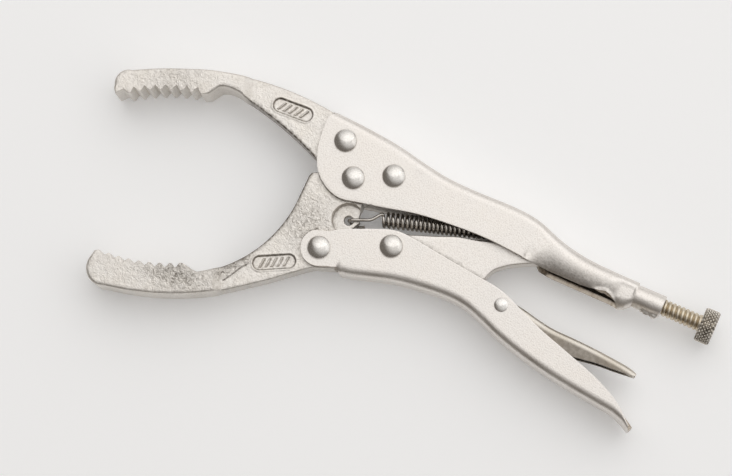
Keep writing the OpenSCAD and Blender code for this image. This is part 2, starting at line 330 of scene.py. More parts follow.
def around(count):
    """Angles at equal steps over one whole turn."""
    return np.linspace(0, 2 * math.pi, count, endpoint=False)


def ring_x(x, r, angles):
    """A ring about the screw's axis."""
    return np.column_stack(
        [np.full(len(angles), x), SCREW_Y + r * np.sin(angles), r * np.cos(angles)]
    )


def sweep(path, radius, sides):
    """A round wire along a path."""
    path = np.asarray(path, float)
    tangent = unit(np.gradient(path, axis=0))
    side = np.cross(tangent[0], [0.3, 0.2, 1.0])
    sections = []
    t = around(sides)[:, None]
    for p, d in zip(path, tangent):
        side = unit(side - d * (side @ d))
        up = np.cross(d, side)
        sections.append(p + radius * (np.cos(t) * side + np.sin(t) * up))
    return loft(sections, close=True, caps=True)


# ---------------------------------------------------------------- materials

WHITE, BLACK = (1, 1, 1), (0, 0, 0)
# The first dark tint is painted shade, laid where shadows, creases and dark reflections fall;
# the second darkens the pits of the forged skin
PAINTED_SHADE_TINT, PIT_DIRT = (0.1, 0.08, 0.06, 1), (0.16, 0.13, 0.1, 1)
SPECK_TINT, SPOT_TINT, LOW_TINT = (0.86, 0.85, 0.84), (0.35, 0.31, 0.27), (0.75, 0.75, 0.75)
# Noise scales of the specks, of the breaks in the painted shade and of the forged skin
SPOT_SCALE, SHADE_BREAK_SCALE, PIT_SCALE, PIT_DEPTH = 240, 900, 760, 0.0008


def metal(
    name, base, other, rough, grain, grain_bump, grain_depth,
    pits=0.0, mottle=90, spots=0.0, stretch=(1, 1, 1), shade_breaks=0.25,
):
    """Plated steel: a fine blasted grain, wider mottling of tint and gloss, dark specks, painted
    shade where the shade mark is, and with pits a forged skin that is rougher where coarse is."""
    m = bpy.data.materials.new(name)
    m.use_nodes = True
    t = m.node_tree
    shader = t.nodes["Principled BSDF"]
    shader.inputs["Metallic"].default_value = 1.0

    def node(kind, inputs=(), settings=(), out=0):
        """A node whose inputs are numbers, colours or other nodes' outputs."""
        x = t.nodes.new("ShaderNode" + kind)
        for key, value in dict(settings).items():
            setattr(x, key, value)
        for key, value in dict(inputs).items():
            if isinstance(value, bpy.types.NodeSocket):
                t.links.new(value, x.inputs[key])
            else:
                x.inputs[key].default_value = value
        return x.outputs[out]

    def noise_at(scale, detail, roughness=0.55, distortion=0.0):
        inputs = {"Vector": place, "Scale": scale, "Detail": detail}
        inputs |= {"Roughness": roughness, "Distortion": distortion}
        return node("TexNoise", inputs, out="Fac")

    def ramp(src, p0, c0, p1, c1):
        out = node("ValToRGB", {"Fac": src}, out="Color")
        low, high = out.node.color_ramp.elements
        low.position, high.position = p0, p1
        low.color, high.color = (*c0, 1), (*c1, 1)
        return out

    def blend(a, b, factor, kind="MIX"):
        settings = {"data_type": "RGBA", "blend_type": kind}
        inputs = {"Factor": factor, "A": a, "B": b}
        return node("Mix", inputs, settings, "Result")

    def mark(label):
        return node("Attribute", (), {"attribute_name": label}, "Fac")

    def bump(height, strength, depth, under=None):
        inputs = {"Strength": strength, "Distance": depth, "Height": height}
        if under:
            inputs["Normal"] = under
        return node("Bump", inputs)

    coord = node("TexCoord", out="Object")
    place = node("Mapping", {"Scale": stretch, "Vector": coord})
    wide = noise_at(mottle, 5, 0.6)
    fine = noise_at(grain, 2, 0.5)
    speck = ramp(fine, 0.3, SPECK_TINT, 0.55, WHITE)
    colour = blend(ramp(wide, 0.35, other, 0.62, base), speck, 1.0, "MULTIPLY")
    if spots:
        dots = ramp(noise_at(SPOT_SCALE, 6, 0.75, 0.4), 0.66, WHITE, 0.74, SPOT_TINT)
        colour = blend(colour, dots, spots, "MULTIPLY")
    # painted shade: a broken dark tint standing in for shadow and dark reflection, laid where a
    # piece's shade mark is
    broken = ramp(noise_at(SHADE_BREAK_SCALE, 3), 0.32, (shade_breaks,) * 3, 0.62, WHITE)
    amount = node("Math", {0: mark("painted_shade"), 1: broken}, {"operation": "MULTIPLY"})
    colour = blend(colour, PAINTED_SHADE_TINT, amount)
    normal = bump(fine, grain_bump, grain_depth)
    if pits:
        coarse = mark("coarse")
        skin = noise_at(PIT_SCALE, 5, 0.62, 0.9)
        low_spots = ramp(skin, 0.38, LOW_TINT, 0.5, BLACK)
        dirt = node("Math", {0: coarse, 1: low_spots}, {"operation": "MULTIPLY"})
        colour = blend(colour, PIT_DIRT, dirt)
        force = node("Math", {0: coarse, 1: 1 - pits, 2: pits}, {"operation": "MULTIPLY_ADD"})
        normal = bump(skin, force, PIT_DEPTH, normal)
    gloss = {"Value": wide, "From Min": 0.3, "From Max": 0.7}
    gloss |= {"To Min": rough[0], "To Max": rough[1]}
    t.links.new(colour, shader.inputs["Base Color"])
    t.links.new(node("MapRange", gloss), shader.inputs["Roughness"])
    t.links.new(normal, shader.inputs["Normal"])
    return m


GRAIN = (2100, 1.0, 0.00008)
# Name, lighter and darker tint, range of roughness, and the grain's scale, bump and depth
NICKEL = metal("satin_nickel", (0.84, 0.805, 0.765), (0.78, 0.74, 0.695), (0.33, 0.45), *GRAIN)
FORGED = metal(
    "forged_nickel", (0.83, 0.795, 0.75), (0.755, 0.715, 0.66), (0.28, 0.42), *GRAIN,
    pits=0.3, mottle=140, spots=0.75,
)
# The cut edges' dark tint: partly bare steel, partly painted shade for the dark line along a
# sheet's edge
SHEARED_EDGE_AND_SHADE = metal(
    "sheared_edge_and_shade", (0.72, 0.65, 0.56), (0.34, 0.28, 0.22), (0.3, 0.45), 2400, 1.0, 0.00008,
    mottle=900, stretch=(1, 0.12, 0.12),
)
POLISHED = metal(
    "polished_nickel", (0.82, 0.80, 0.77), (0.77, 0.74, 0.70), (0.2, 0.28), 2400, 0.12, 0.00003
)
# A darker, browner copy of the nickel: painted dark reflection laid into the whole release
# lever's colour
LEVER_SHADED = metal(
    "lever_nickel_shaded", (0.70, 0.66, 0.60), (0.58, 0.53, 0.46), (0.2, 0.34), 2600, 0.3, 0.00003,
    spots=0.35, shade_breaks=0.85,
)
BRASSY = metal(
    "plated_screw", (0.74, 0.67, 0.55), (0.60, 0.52, 0.40), (0.24, 0.36), 3000, 0.25, 0.00003
)
KNURLED = metal(
    "knurled_steel", (0.88, 0.84, 0.77), (0.78, 0.73, 0.65), (0.2, 0.32), 3000, 0.3, 0.00003
)
WIRE = metal(
    "spring_wire", (0.62, 0.585, 0.545), (0.46, 0.43, 0.39), (0.16, 0.26), 3000, 0.2, 0.00002,
    mottle=400,
)

# ---------------------------------------------------------------- upper handle

TOP_EDGE = smooth(
    [
        (-14.8, 19.2), (-2, 18.4), (10, 17), (20, 15), (30, 13.4), (41, 13), (52, 13.2),
        (60, 12.9), (66, 11.8), (72, 9.7), (78, 8.1), (86, 6.9), (96, 6.5), (104.6, 6.4),
    ],
    6,
)
CHEEK_FRONT = smooth(
    [
        (-16.9, 16), (-16.6, 10.5), (-15.6, 4.5), (-13.2, -1.2), (-10, -4.8), (-5.6, -7.4),
        (-1, -8.3), (4, -7.3), (14, -5.2), (26, -2.6), (40, -1.3), (52, -1), (64, -1.9),
    ],
    6,
)
UPPER_PLAN = smooth(
    [(58, 6.5), (64, 6.48), (70, 6.25), (78, 5.85), (86, 5.4), (96, 5.0), (104.6, 4.5)], 6
)
# The rolled rear: the bottom of the roll, and the near lip's free edge
ROLL_BOTTOM = [(64, -4.0), (76, -4.3), (98, -4.5), (101, -4.9), (102.6, -4.3), (104.6, -2.5)]
NEAR_LIP = [
    (64, -2.0), (69, -2.5), (86, -2.6), (89.4, -2.3), (90.6, -1.95), (93, -1.45), (94.8, -1.0),
    (96.6, -1.4), (98, -2.1), (99.4, -3.3), (100.6, -4.6),
]
COLLAR_R, BORE_R, TUBE_END_X = 3.9, 3.02, 114.8
ROLL_X, ROLL_END_X, LIP_END_X = 64.0, 104.6, 100.4
# Where along X the near lip flares out, where the roll is pinched, and how far each goes
FLARE, FLARE_OUT, FLARE_REACH = (88.5, 94, 96.5, 100), 0.8, 1.3
PINCH, PINCH_Z, PINCH_SHARE = (96.5, 99.5, 103.6, 104.4), 3.95, 0.75

# Points on one cheek, on one bend and across the web of a section
N_CHEEK, N_BEND, N_WEB = 24, 9, 8


def section(t, b, half_w, bend, n_cheek=N_CHEEK, n_bend=N_BEND, n_web=N_WEB, ear=False):
    """One section of a folded sheet: from the free edge b up one cheek, over the web at t,
    and down the other cheek. An ear has no web, and its bend stays flat."""
    t, b = np.asarray(t, float), np.asarray(b, float)
    length = np.linalg.norm(b - t)
    u = (b - t) / max(length, TINY)
    pts = []
    for d in np.linspace(length, min(bend, length), n_cheek):
        pts.append((*(t + u * d), half_w))
    for a in np.linspace(0, math.pi / 2, n_bend)[1:]:
        d = min(bend, length) * (1 - math.sin(a))
        z = half_w if ear else half_w - bend * (1 - math.cos(a))
        pts.append((*(t + u * d), z))
    half = np.array(pts)
    flip = half[::-1] * [1, 1, -1]
    z0, z1 = half[-1][2], flip[0][2]
    mid = [(t[0], t[1], z0 + (z1 - z0) * k / n_web) for k in range(1, n_web)]
    return np.vstack([half, np.array(mid).reshape(-1, 3), flip])


def at_x(table, x):
    """The height of a line at x."""
    xs, ys = zip(*table)
    return float(np.interp(x, xs, ys))


def eased(x, lo, hi):
    """step01 of one number."""
    return float(step01(x, lo, hi))


def rolled_section(x):
    """One section of the rolled rear, like section(): its near side stops at the near lip,
    and its far side wraps under the screw and ends with its cut edge towards the near side."""
    top = at_x(TOP_EDGE, x)
    half = at_x(UPPER_PLAN, x)
    bottom = at_x(ROLL_BOTTOM, x)
    bend = BEND_R + (half - 1.3 - BEND_R) * eased(x, 66, 92)
    wide = 0.6 + (half - 0.65) * eased(x, 64.5, 76)
    wrap = bottom + 1.5 * (1 - eased(x, 67, 76))

    def run(low, end):
        tall = 0.6 + (top - bend - low - 0.7) * eased(x, 64.5, 73)
        down = [
            (low + tall * (1 - math.sin(a)), half - wide * (1 - math.cos(a)))
            for a in np.linspace(0, math.pi / 2, 30)
        ]
        return np.array([(top - bend, half)] + down + [(low, 0.0), (low, end)])

    near, far = run(bottom, -0.3), run(wrap, -0.55)
    quarter = np.linspace(0, math.pi / 2, N_BEND)[1:]

    def steps_of(path):
        return np.linalg.norm(np.diff(path, axis=0), axis=1)

    def length_to(path, y):
        gone = 0.0
        for p, q, step in zip(path[:-1], path[1:], steps_of(path)):
            if q[0] <= y < p[0]:
                return gone + step * (p[0] - y) / (p[0] - q[0])
            gone += step
        return gone

    def side(path, length, flare):
        gone = np.r_[0, np.cumsum(steps_of(path))]
        want = np.linspace(length, 0, N_CHEEK)
        pts = np.column_stack([np.interp(want, gone, path[:, k]) for k in (0, 1)])
        turn = unit(np.gradient(pts, axis=0))
        out = np.column_stack([-turn[:, 1], turn[:, 0]])
        lift = flare * np.clip(1 - (length - want) / FLARE_REACH, 0, 1) ** 2
        over = [top - bend * (1 - np.sin(quarter)), half - bend * (1 - np.cos(quarter))]
        return np.vstack([pts + out * lift[:, None], np.column_stack(over)])

    near_length = steps_of(near).sum()
    if x < LIP_END_X:
        near_length = min(length_to(near, at_x(NEAR_LIP, x)), near_length)
    far_short = length_to(far, -1.9 + 1.6 * eased(x, 64, 66.5))
    far_length = far_short + (steps_of(far).sum() - far_short) * eased(x, 67.6, 74.4)
    one = side(near, near_length, FLARE_OUT * hump(x, *FLARE))
    two = side(far, far_length, 0.0)
    # the pinched end: its near face is pressed flat
    pinch = PINCH_SHARE * hump(x, *PINCH) * step01(one[:, 0], 5.0, 3.0)
    one[:, 1] -= pinch * np.maximum(one[:, 1] - PINCH_Z, 0)
    # a dimple where the flat cheek turns into the roll
    one[:, 1] -= 0.14 * np.exp(-(((x - 65.8) / 1.5) ** 2) - ((one[:, 0] - 0.1) / 1.9) ** 2)
    near_pts = np.column_stack([np.full(len(one), x), one])
    far_pts = np.column_stack([np.full(len(two), x), two[:, 0], -two[:, 1]])[::-1]
    z0, z1 = near_pts[-1][2], far_pts[0][2]
    mid = [(x, top, z0 + (z1 - z0) * k / N_WEB) for k in range(1, N_WEB)]
    return np.vstack([near_pts, np.array(mid), far_pts])


def upper_handle_sheet():
    """The folded front, whose sections turn until they are upright, and then the roll."""
    front_t = TOP_EDGE[TOP_EDGE[:, 0] <= 8.5]
    front_b = CHEEK_FRONT[: np.argmax(CHEEK_FRONT[:, 0] > 9)]
    shares = np.linspace(0, 1, 46)
    ts, bs = along(front_t, at=shares**1.15), along(front_b, at=shares)
    sections = [section(t, b, HALF_W, BEND_R) for t, b in zip(ts, bs)]
    back_b = CHEEK_FRONT[np.argmax(CHEEK_FRONT[:, 0] > bs[-1][0] + 0.2) :]
    back_ts = upright(TOP_EDGE, ts[-1][0], ROLL_X, 70)[1:]
    back_bs = upright(back_b, bs[-1][0], ROLL_X, 70)[1:]
    for t, b in zip(back_ts, back_bs):
        sections.append(section(t, b, np.interp(t[0], *UPPER_PLAN.T), BEND_R))
    stations = np.r_[np.arange(64.4, 88, 0.5), np.arange(88, 104.7, 0.3), ROLL_END_X]
    sections += [rolled_section(x) for x in stations]
    return loft(sections)


def collar():
    """The threaded end of the tube: a step down, one long flat, and a burr under its seam."""
    flat_deg, seam_deg = 62, 276
    angles = around(96)

    def outer(x, r, deg):
        top = abs((deg - flat_deg + 180) % 360 - 180)
        if top < 25:
            r = min(r, (COLLAR_R - 0.22) / math.cos(math.radians(top)))
        seam = abs((deg - seam_deg + 180) % 360 - 180)
        lump = noise.noise((x * 1.1, deg * 0.06, 3.1)) * 0.6 + 0.55
        ridge = 0.25 + 0.75 * eased(x, 106.5, 111.5)
        burr = 2.0 * max(lump, 0) * ridge * eased(x, TUBE_END_X + 0.1, TUBE_END_X - 1.2)
        dent = 0.04 * noise.noise((x * 0.5, deg * 0.03, 9.0))
        return r + burr * eased(seam, 24, 3) + dent

    profile = [(103.6, 3.0), (103.8, COLLAR_R), (104.4, COLLAR_R)]
    profile += [(x, COLLAR_R) for x in np.linspace(104.8, TUBE_END_X - 0.5, 34)]
    profile += [(TUBE_END_X - 0.18, COLLAR_R - 0.06), (TUBE_END_X, COLLAR_R - 0.26)]
    profile += [(TUBE_END_X, 3.25), (TUBE_END_X - 0.25, BORE_R), (111.0, BORE_R)]
    sections = []
    for x, r in profile:
        radii = [outer(x, r, deg) if r > 3.5 else r for deg in np.degrees(angles)]
        sections.append(ring_x(x, np.array(radii), angles))
    return loft(sections, close=True)


def spring_tab():
    """The tab inside the handle that the spring's rear hook goes through."""
    outline = join([(52, 12), (52, 3.6)], arc((54.3, 3.9), 2.3, 180, 360, 14), [(56.6, 12)])
    half, rim = (lambda p: np.full(len(p), 0.9)), (lambda p: np.full(len(p), 0.2))
    return forging(outline, [circle(TAB_HOLE, 1.2, 24)], half, rim, grid=1.0, step=0.6)


def thicken(obj, thickness, rim):
    """Gives a sheet its thickness inwards and rounds its cut edges, which are left bare and
    dark:
    part bare steel, part painted shade for the dark line along a sheet's edge.
    """
    obj.data.materials.append(SHEARED_EDGE_AND_SHADE)
    solid = obj.modifiers.new("sheet", "SOLIDIFY")
    solid.material_offset_rim = 1
    solid.thickness = thickness * MM
    solid.offset = -1
    solid.use_even_offset = True
    solid.use_quality_normals = True
    edge = obj.modifiers.new("rim", "BEVEL")
    edge.width = rim * MM
    edge.segments = 3
    edge.limit_method = "ANGLE"
    edge.angle_limit = math.radians(50)


def face_out(obj):
    """Turns a folded sheet's faces so that they look away from its middle plane."""
    bm = bmesh.new()
    bm.from_mesh(obj.data)
    total = 0.0
    for f in bm.faces:
        total += f.normal.z * (f.calc_center_median().z - PLACE[2] * MM) * f.calc_area()
    if total < 0:
        bmesh.ops.reverse_faces(bm, faces=bm.faces)
    bm.to_mesh(obj.data)
    bm.free()


def sheet_piece(name, shape, body, node, material, thickness, rim, marks=None):
    """A piece folded from sheet, with its cut edges rounded to the radius rim."""
    obj = piece(name, shape, body, [node], material, 60, marks)
    face_out(obj)
    thicken(obj, thickness, rim)


def seam_painted_shade(p):
    """Painted shade: a dark spot above the place where the cheek starts to roll, on its near
    side, and a mottled dark tint on the roll, darker towards its bottom.
    """
    crease_shade = np.exp(-(((p[:, 0] - 64.8) / 0.5) ** 2) - ((p[:, 1] + 0.6) / 1.0) ** 2)
    roll_bottom_shade = 0.34 * hump(p[:, 0], 65, 70, 97, 100) * step01(p[:, 1], 4.2, 0.2)
    return np.maximum(0.8 * crease_shade * (p[:, 2] > 0), roll_bottom_shade)


sheet_piece(
    "upper_handle_sheet", upper_handle_sheet(), "root", "upper_handle",
    NICKEL, UPPER_SHEET, 0.22, {"painted_shade": seam_painted_shade},
)
piece("upper_handle_threaded_end", collar(), "root", [], NICKEL)
piece("upper_handle_spring_tab", spring_tab(), "root", [], NICKEL)

# ---------------------------------------------------------------- lower handle

WEB_LINE = smooth(
    [
        (8.9, -32.2), (12.5, -31.6), (19, -29.7), (27, -27.4), (36, -26), (46, -25.2),
        (53, -25.8), (60, -28), (68, -31), (80, -34.2), (93, -36.6), (106, -38.2), (114, -39.3),
        (120.5, -42.2),
    ],
    6,
)
LOWER_EDGE = smooth(
    [
        (0.2, -20.3), (3.3, -18.2), (9.5, -15.3), (15.9, -12.6), (20, -11.2), (24, -10.8),
        (30.4, -11.4), (42, -12.9), (54, -14.3), (60, -15), (65, -16.3), (71, -18.8),
        (80, -22.4), (92, -26.2), (104, -30.2), (113, -34.6), (119.6, -40.3),
    ],
    6,
)


def lower_handle_sheet():
    """Two flat ears round the handle's pivot, then a channel whose web is the lower side."""
    nose_r, ear_rows = 6.4, 30
    under = smooth([(4.2, -31.7), (6, -31.2), (7.4, -30.6)], 3)
    nose_t = join(arc(HANDLE_PIVOT, nose_r, 205, 292, 14), under)
    nose_b = join(arc(HANDLE_PIVOT, nose_r, 205, 132, 12), LOWER_EDGE[LOWER_EDGE[:, 0] < 7.5])
    sections = [
        section(t, b, HALF_W, BEND_R, ear=True)
        for t, b in zip(along(nose_t, ear_rows), along(nose_b, ear_rows))
    ]
    ts = upright(WEB_LINE, WEB_LINE[0][0], WEB_LINE[-1][0], 130)
    bs = upright(LOWER_EDGE, sections[-1][0][0] + 0.6, LOWER_EDGE[-1][0], 130)
    for t, b in zip(ts, bs):
        sections.append(section(t, b, HALF_W, min(BEND_R, 0.85 * math.dist(t, b))))
    first_web = N_CHEEK + N_BEND - 2
    last_web = first_web + N_WEB

    def keep(i, j):
        return i >= ear_rows or not first_web <= j <= last_web

    return loft(sections, keep)


sheet_piece(
    "lower_handle_sheet", lower_handle_sheet(), "handle", "lower_handle",
    NICKEL, LOWER_SHEET, 0.28,
)

# ---------------------------------------------------------------- jaws

MOVING_TOOTH_C, FIXED_TOOTH_C = np.array([-71.9, 6.8]), np.array([-48.3, -57.2])
TOOTH_ARC_R, TOOTH_DEPTH, TOOTH_COUNT = 64.7, 1.7, 8
BACK_ARC, BACK_ARC_R = (-31.1, -87), 106.8
# Half thicknesses of the arms, the pads and the pocket round the spring's eye
ARM_H, PAD_H, POCKET_H = 4.3, 6.7, 1.6
# Edge radii of the arms, the pads, the teeth, the covered parts and the fixed jaw's tang
ARM_EDGE, PAD_EDGE, TOOTH_EDGE, COVERED_EDGE, TANG_EDGE = 0.55, 1.05, 0.22, 0.35, 0.4
RECESS_R, RECESS_DEPTH = 2.6, 0.8
RIB_HALF, RIB_REACH, RIB_PITCH, RIB_SLANT = 0.42, 1.5, 2.1, 0.6
RIBS = range(-2, 3)


def teeth(c, r, a0, a1):
    """Teeth on an arc of radius r about c: a narrow flat root, then a point."""
    step = (a1 - a0) / TOOTH_COUNT
    out = []
    for i in range(TOOTH_COUNT):
        for share, depth in ((0, 0), (0.2, 0), (0.6, TOOTH_DEPTH)):
            a = math.radians(a0 + (i + share) * step)
            out.append(c + (r + depth) * np.array([math.cos(a), math.sin(a)]))
    return np.array(out)


def recess_gaps(points, at, deg, length):
    """Signed distances to the rim of an oblong recess and to the nearest of its ribs."""
    a = math.radians(deg)
    d = points - np.asarray(at)
    u = d[:, 0] * math.cos(a) + d[:, 1] * math.sin(a)
    v = -d[:, 0] * math.sin(a) + d[:, 1] * math.cos(a)
    rim = np.hypot(np.maximum(np.abs(u) - (length / 2 - RECESS_R), 0), v) - RECESS_R
    side = np.min([np.abs(u - RIB_SLANT * v - RIB_PITCH * k) for k in RIBS], axis=0)
    return rim, np.maximum(side - RIB_HALF, np.abs(v) - RIB_REACH)


def recess(points, place):
    """How far a recess with plain slanted ribs sinks each point, and its raised rim."""
    gap, rib_gap = recess_gaps(points, *place)
    sink = RECESS_DEPTH * (1 - step01(gap, -0.38, -0.02))
    rim = 0.1 * hump(gap, -0.02, 0.2, 0.4, 0.75)
    return -sink + rim + 0.7 * RECESS_DEPTH * (1 - step01(rib_gap, -0.2, 0.12))


def recess_points(at, deg, length):
    """Points that follow the recess: rings along its rim, and rows along each rib."""
    half = length / 2 - RECESS_R
    uv = []
    for gap in (-0.7, -0.38, -0.2, -0.02, 0.1, 0.2, 0.38, 0.55, 0.75, 0.95, 1.3):
        r = RECESS_R + gap
        side = np.arange(-half, half, 0.4)
        uv += [(x, r) for x in side] + [(x, -r) for x in side]
        for t in np.linspace(-90, 90, 26):
            x, y = r * math.cos(math.radians(t)), r * math.sin(math.radians(t))
            uv += [(half + x, y), (-half - x, y)]
    for k in RIBS:
        for du in (-0.75, -0.54, -0.4, -0.26, 0, 0.26, 0.4, 0.54, 0.75):
            for v in (-1.75, -1.6, -1.5, -1.35, -0.9, -0.45, 0, 0.45, 0.9, 1.35, 1.5, 1.6, 1.75):
                uv.append((RIB_PITCH * k + du + RIB_SLANT * v, v))
    u, v = np.array(uv).T
    c, s = math.cos(math.radians(deg)), math.sin(math.radians(deg))
    return np.column_stack([at[0] + u * c - v * s, at[1] + u * s + v * c])


def line_side(points, a, b):
    """Signed distance from the line through a and b, positive on its left."""
    a, b = np.asarray(a, float), np.asarray(b, float)
    d = unit(b - a)
    return d[0] * (points[:, 1] - a[1]) - d[1] * (points[:, 0] - a[0])


def near_teeth(points, c, a_lo, a_hi):
    """1 on the teeth about c between two angles, and 0 away from them."""
    d = points - c
    a = np.degrees(np.arctan2(d[:, 1], d[:, 0]))
    past = away(points, c) - TOOTH_ARC_R - TOOTH_DEPTH
    band = step01(past, 2.4, 0.9)
    return band * step01(a, a_lo - 1.5, a_lo) * step01(a, a_hi + 1.5, a_hi)


def cast_skin(points, amount):
    """The slight unevenness of a forged face."""
    return np.array(
        [
            amount * noise.noise((x * 0.35, y * 0.35, 1.7))
            + 0.6 * amount * noise.noise((x * 0.9, y * 0.9, 7.3))
            for x, y in points
        ]
    )


# The middle, slope and length of each recess, and the arc of each arm's inner edge
FIXED_RECESS = ((-29.6, 14.0), 2.5, 14.8)
MOVING_RECESS = ((-13.4, -37.5), 27, 15.2)
FIXED_INNER = ((-70, -120.3), 133.5)
MOVING_INNER = ((-59.3, -13.4), 44.4)
# Two points on the middle of the ramp from arm to pad, and half of the ramp's length
FIXED_STEP = ((-45.95, 11.46), (-48.31, 18.09), 1.5)
MOVING_STEP = ((-27.7, -53.73), (-29.78, -48.45), 1.43)
# The flash crease, the line of painted shadow round the lower handle's nose, and rows beside
# such lines
CREASE = np.array([(-26.9, -50.4), (-25.4, -48.0), (-23.4, -44.3), (-21.3, -41.5)])
NOSE_LINE = arc(HANDLE_PIVOT + [0, 0.35], 6.65, 120, 300, 24)
CREASE_ROWS, LINE_ROWS = (-0.5, -0.25, 0, 0.25, 0.5), (-0.45, -0.2, 0.05, 0.3)


def line_gap(points, line):
    """Distance from each point to an open line."""
    out = np.full(len(points), 1e9)
    for a, b in zip(line[:-1], line[1:]):
        t = np.clip(((points - a) @ (b - a)) / ((b - a) @ (b - a)), 0, 1)
        out = np.minimum(out, np.linalg.norm(points - a - t[:, None] * (b - a), axis=1))
    return out


def on_line(points, line, width):
    """1 on an open line, and near 0 at twice the width from it."""
    return np.exp(-((line_gap(points, line) / width) ** 2))


def pad_share(points, step):
    """0 on the arm, 1 on the thicker pad, with a straight ramp between them."""
    a, b, half = step
    return np.clip(line_side(points, a, b) / (2 * half) + 0.5, 0, 1)


def beside(line, gaps):
    """Rows of points along an open line, one row at each distance to its side."""
    out = []
    for a, b in zip(line[:-1], line[1:]):
        d = unit(b - a)
        for t in np.arange(0, np.linalg.norm(b - a), 0.3):
            for side in gaps:
                out.append(a + d * t + side * np.array([-d[1], d[0]]))
    return np.array(out)


def ramp_points(step, low, high):
    """Rows of points on both sides of the pad's ramp, so that its edges stay crisp."""
    a, b, half = np.array(step[0]), np.array(step[1]), step[2]
    d = unit(b - a)
    n = np.array([-d[1], d[0]])
    return np.array(
        [
            a + d * t + n * w
            for t in np.arange(low, high, 0.45)
            for w in (-half - 0.3, -half, -half + 0.3, 0, half - 0.3, half, half + 0.3)
        ]
    )


def jaw_painted_shade(points, rim, place, step, inner):
    """Dark lines of painted shade: in the recess and round its ribs, the cheek's shadow where it
    ends, and along the arm's edges, most along the inner one, an arc about inner[0] of radius
    inner[1]."""
    gap, rib_gap = recess_gaps(points, *place)
    in_recess = 0.9 * np.exp(-(((gap + 0.24) / 0.3) ** 2))
    by_ribs = 0.3 * np.exp(-(((rib_gap - 0.02) / 0.12) ** 2))
    past_rim = np.maximum(edge_distance(points, [rim]) - 0.35, 0)
    share = np.where(away(points, inner[0]) < inner[1] + 2, 0.95, 0.25)
    by_rim = (1 - pad_share(points, step)) * share * np.exp(-((past_rim / 0.3) ** 2))
    by_cheek = 0.9 * on_line(points, CHEEK_FRONT, 0.38)
    return np.max([in_recess, by_ribs, by_rim, by_cheek], axis=0)


def fixed_jaw():
    """The upper jaw and its outline."""
    grip = teeth(FIXED_TOOTH_C, TOOTH_ARC_R, 101, 127)
    outline = join(
        arc(BACK_ARC, BACK_ARC_R, 82, 108.8, 40),
        smooth([(-66.9, 13.5), (-72, 11.5), (-78, 9), (-83.5, 6.3)], 6),
        arc((-86.35, -0.5), 5, 98, 205, 16),
        [(-90.2, -4.4), (-89, -5.7)],
        grip[::-1],
        smooth([(-58.7, 7.2), (-57.4, 9.2), (-56, 11), (-53, 11.9), (-49.4, 11.8)], 6),
        arc(*FIXED_INNER, 80.4, 65.8, 30),
        [(-14.6, 0.9)],
        arc(JAW_PIVOT, 9.4, 174, 8, 30),
        arc(REAR_RIVET, 6.5, -65, 58, 16),
        [(8, 14.6), (-2, 16.1), (-15.7, 17), (-15.7, 19)],
    )

    def height(p):
        h = ARM_H + (PAD_H - ARM_H) * pad_share(p, FIXED_STEP)
        return h + recess(p, FIXED_RECESS) + cast_skin(p, 0.05)

    def edge_r(p):
        r = ARM_EDGE + (PAD_EDGE - ARM_EDGE) * pad_share(p, FIXED_STEP)
        r = r + (TANG_EDGE - r) * step01(p[:, 0], -17.5, -16)
        return r + (TOOTH_EDGE - r) * near_teeth(p, FIXED_TOOTH_C, 100.5, 127.5)

    holes = [circle(at, RIVET_R + SNUG) for at in (FRONT_RIVET, REAR_RIVET)]
    extra = [recess_points(*FIXED_RECESS), ramp_points(FIXED_STEP, -3, 9)]
    extra.append(beside(CHEEK_FRONT, LINE_ROWS))
    return forging(outline, holes, height, edge_r, extra=extra), outline


def moving_jaw():
    """The lower jaw and its outline."""
    outline = join(
        [(-13.3, -3.1), (-14.3, -3.7), (-14.8, -5)],
        arc(*MOVING_INNER, 0, -58.8, 46),
        [(-38.2, -51.3), (-41, -50.8)],
        teeth(MOVING_TOOTH_C, TOOTH_ARC_R, -62.8, -88.4),
        [(-70.5, -58), (-72.1, -58.8)],
        arc((-66.3, -63), 6.5, 171, 272, 18),
        arc((-80.8, 29.9), 100.2, -80, -55.5, 40),
        smooth([(-12.7, -44.1), (-1.6, -34.9), (2, -33.1), (6.6, -31.4)], 6),
        smooth([(7.8, -28.8), (8, -25), (7, -20), (6.2, -16.6)], 4),
        [(7.9, -12.9), (6.9, -11.3)],
        arc(JAW_PIVOT, 9, -45, 185, 40),
    )

    def height(p):
        h = ARM_H + (PAD_H - ARM_H) * pad_share(p, MOVING_STEP)
        h = h + recess(p, MOVING_RECESS) + cast_skin(p, 0.07) - 0.22 * on_line(p, CREASE, 0.22)
        pocket = 1 - step01(away(p, SPRING_EYE), 5.35, 5.75)
        return h + (POCKET_H - h) * pocket

    def edge_r(p):
        r = ARM_EDGE + (PAD_EDGE - ARM_EDGE) * pad_share(p, MOVING_STEP)
        for at, far, near in ((SPRING_EYE, 7.2, 6), (HANDLE_PIVOT, 5, 3.6), (JAW_PIVOT, 6, 4)):
            r = r + (COVERED_EDGE - r) * step01(away(p, at), far, near)
        return r + (TOOTH_EDGE - r) * near_teeth(p, MOVING_TOOTH_C, -89, -62.3)

    holes = [circle(SPRING_EYE, 1.6, 32)]
    holes += [circle(at, RIVET_R + SLIP) for at in (JAW_PIVOT, HANDLE_PIVOT)]
    eye_r = (1.95, 2.5, 3.1, 4, 4.8, 5.35, 5.5, 5.65, 5.8, 6.2)
    rings = [circle(SPRING_EYE, r, 56) for r in eye_r]
    extra = [recess_points(*MOVING_RECESS), ramp_points(MOVING_STEP, -4, 9)]
    extra += [beside(CREASE, CREASE_ROWS), beside(CHEEK_FRONT, LINE_ROWS)]
    extra.append(beside(NOSE_LINE, LINE_ROWS))
    return forging(outline, holes, height, edge_r, extra=extra + rings), outline


def fixed_coarse(p):
    """How rough the forged skin is: a little on the pad."""
    return 0.35 * np.exp(-((away(p, [-72, 9]) / 10) ** 2))


